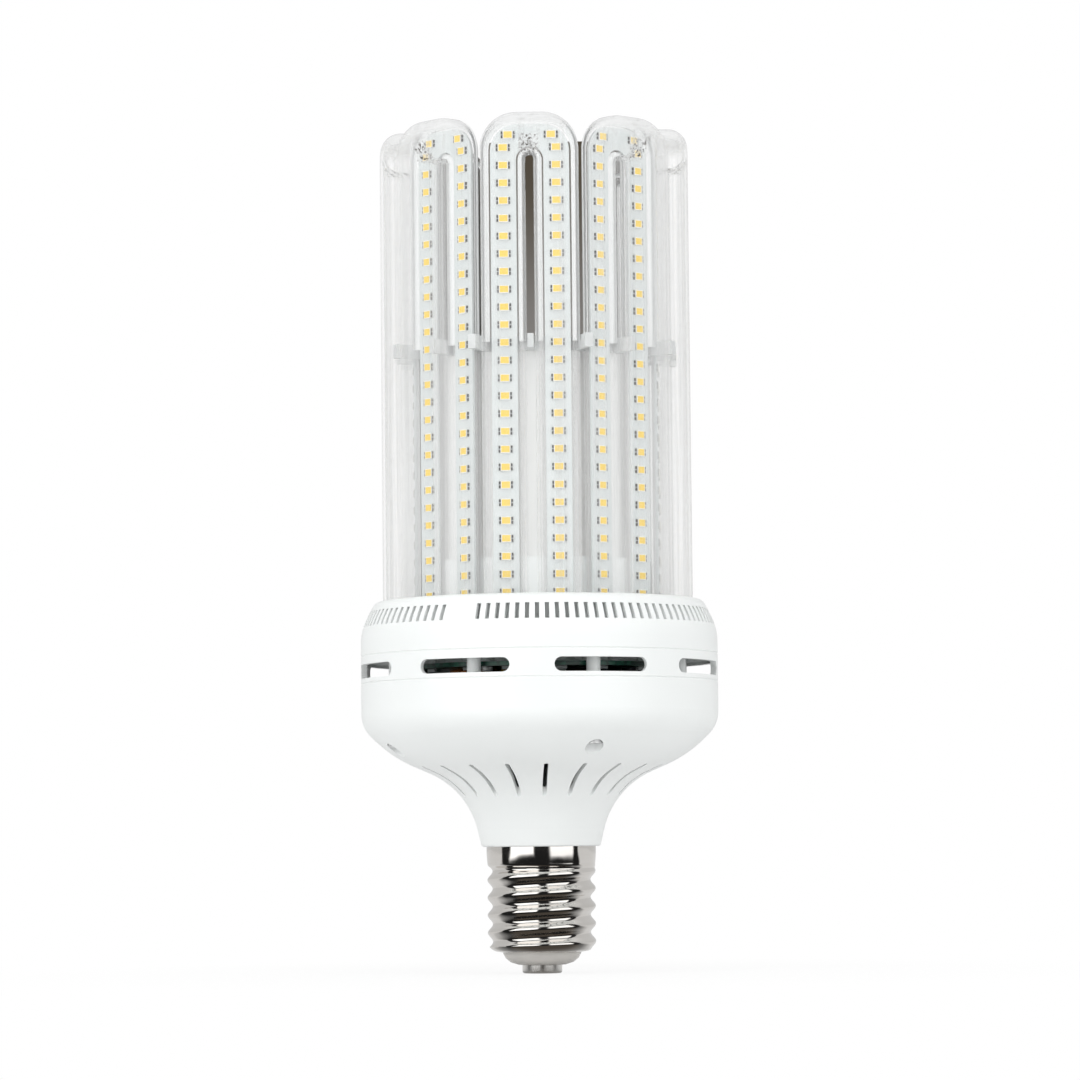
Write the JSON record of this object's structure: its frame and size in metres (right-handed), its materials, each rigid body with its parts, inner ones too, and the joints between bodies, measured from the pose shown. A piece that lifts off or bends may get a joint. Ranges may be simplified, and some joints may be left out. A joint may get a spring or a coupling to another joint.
{
  "type": "led u-tube lamp",
  "caption": "LED lamp with a ring of clear U-shaped tubes on a vented white housing and a 40 mm Edison screw cap, cap down.",
  "frame": {"origin": "centre of the end face of the centre contact, at the foot of the lamp", "axes": "+Z from the cap towards the tops of the tubes, along the lamp axis; -Y out through the middle of one tube"},
  "size_m": [0.1296, 0.1296, 0.3063],
  "materials": {
    "plated_contact": "polished nickel plate",
    "plated_shell": "polished nickel plate",
    "cap_insulator": "smooth moulded",
    "white_housing": "satin moulded white",
    "clear_cover": "clear, glossy",
    "aluminium": "plain mill finish",
    "led_board": "white solder mask on aluminium",
    "led_phosphor": "yellow phosphor in a white case",
    "spacer": "translucent grey moulding",
    "pale_sleeve": "satin moulded pale grey",
    "screws": "zinc plated",
    "circuit_board": "dark green solder mask",
    "ferrite": "dark grey ferrite with taped winding",
    "capacitor_cans": "cans in a dark plain dark sleeve",
    "film_capacitor": "yellow box",
    "choke_winding": "enamelled copper winding",
    "black_plastic": "black moulding compound",
    "fuse": "glass with plated end caps",
    "lead_insulation": "white flexible insulation"
  },
  "bodies": {
    "root": {"air_sleeve": "pale_sleeve", "board_screws": "screws", "bridge_rectifier": "black_plastic", "cap_insulator": "cap_insulator", "centre_contact": "plated_contact", "contact_lead": "lead_insulation", "driver_board": "circuit_board", "film_capacitor": "film_capacitor", "fuse": "fuse", "heat_sink": "aluminium", "housing_screws": "screws", "led_board_1": "led_board", "led_board_2": "led_board", "led_board_3": "led_board", "led_board_4": "led_board", "led_board_5": "led_board", "led_board_6": "led_board", "led_board_7": "led_board", "led_board_8": "led_board", "leds_1": "led_phosphor", "leds_2": "led_phosphor", "leds_3": "led_phosphor", "leds_4": "led_phosphor", "leds_5": "led_phosphor", "leds_6": "led_phosphor", "leds_7": "led_phosphor", "leds_8": "led_phosphor", "line_choke": "choke_winding", "lower_housing": "white_housing", "main_capacitors": "capacitor_cans", "output_capacitors": "capacitor_cans", "power_transistor": "black_plastic", "screw_shell": "plated_shell", "shell_lead": "lead_insulation", "top_cover": "white_housing", "transformer": "ferrite", "tube_back_1": "aluminium", "tube_back_2": "aluminium", "tube_back_3": "aluminium", "tube_back_4": "aluminium", "tube_back_5": "aluminium", "tube_back_6": "aluminium", "tube_back_7": "aluminium", "tube_back_8": "aluminium", "tube_cover_1": "clear_cover", "tube_cover_2": "clear_cover", "tube_cover_3": "clear_cover", "tube_cover_4": "clear_cover", "tube_cover_5": "clear_cover", "tube_cover_6": "clear_cover", "tube_cover_7": "clear_cover", "tube_cover_8": "clear_cover", "tube_spacer": "spacer", "window_ring": "white_housing"}
  },
  "joints": []
}
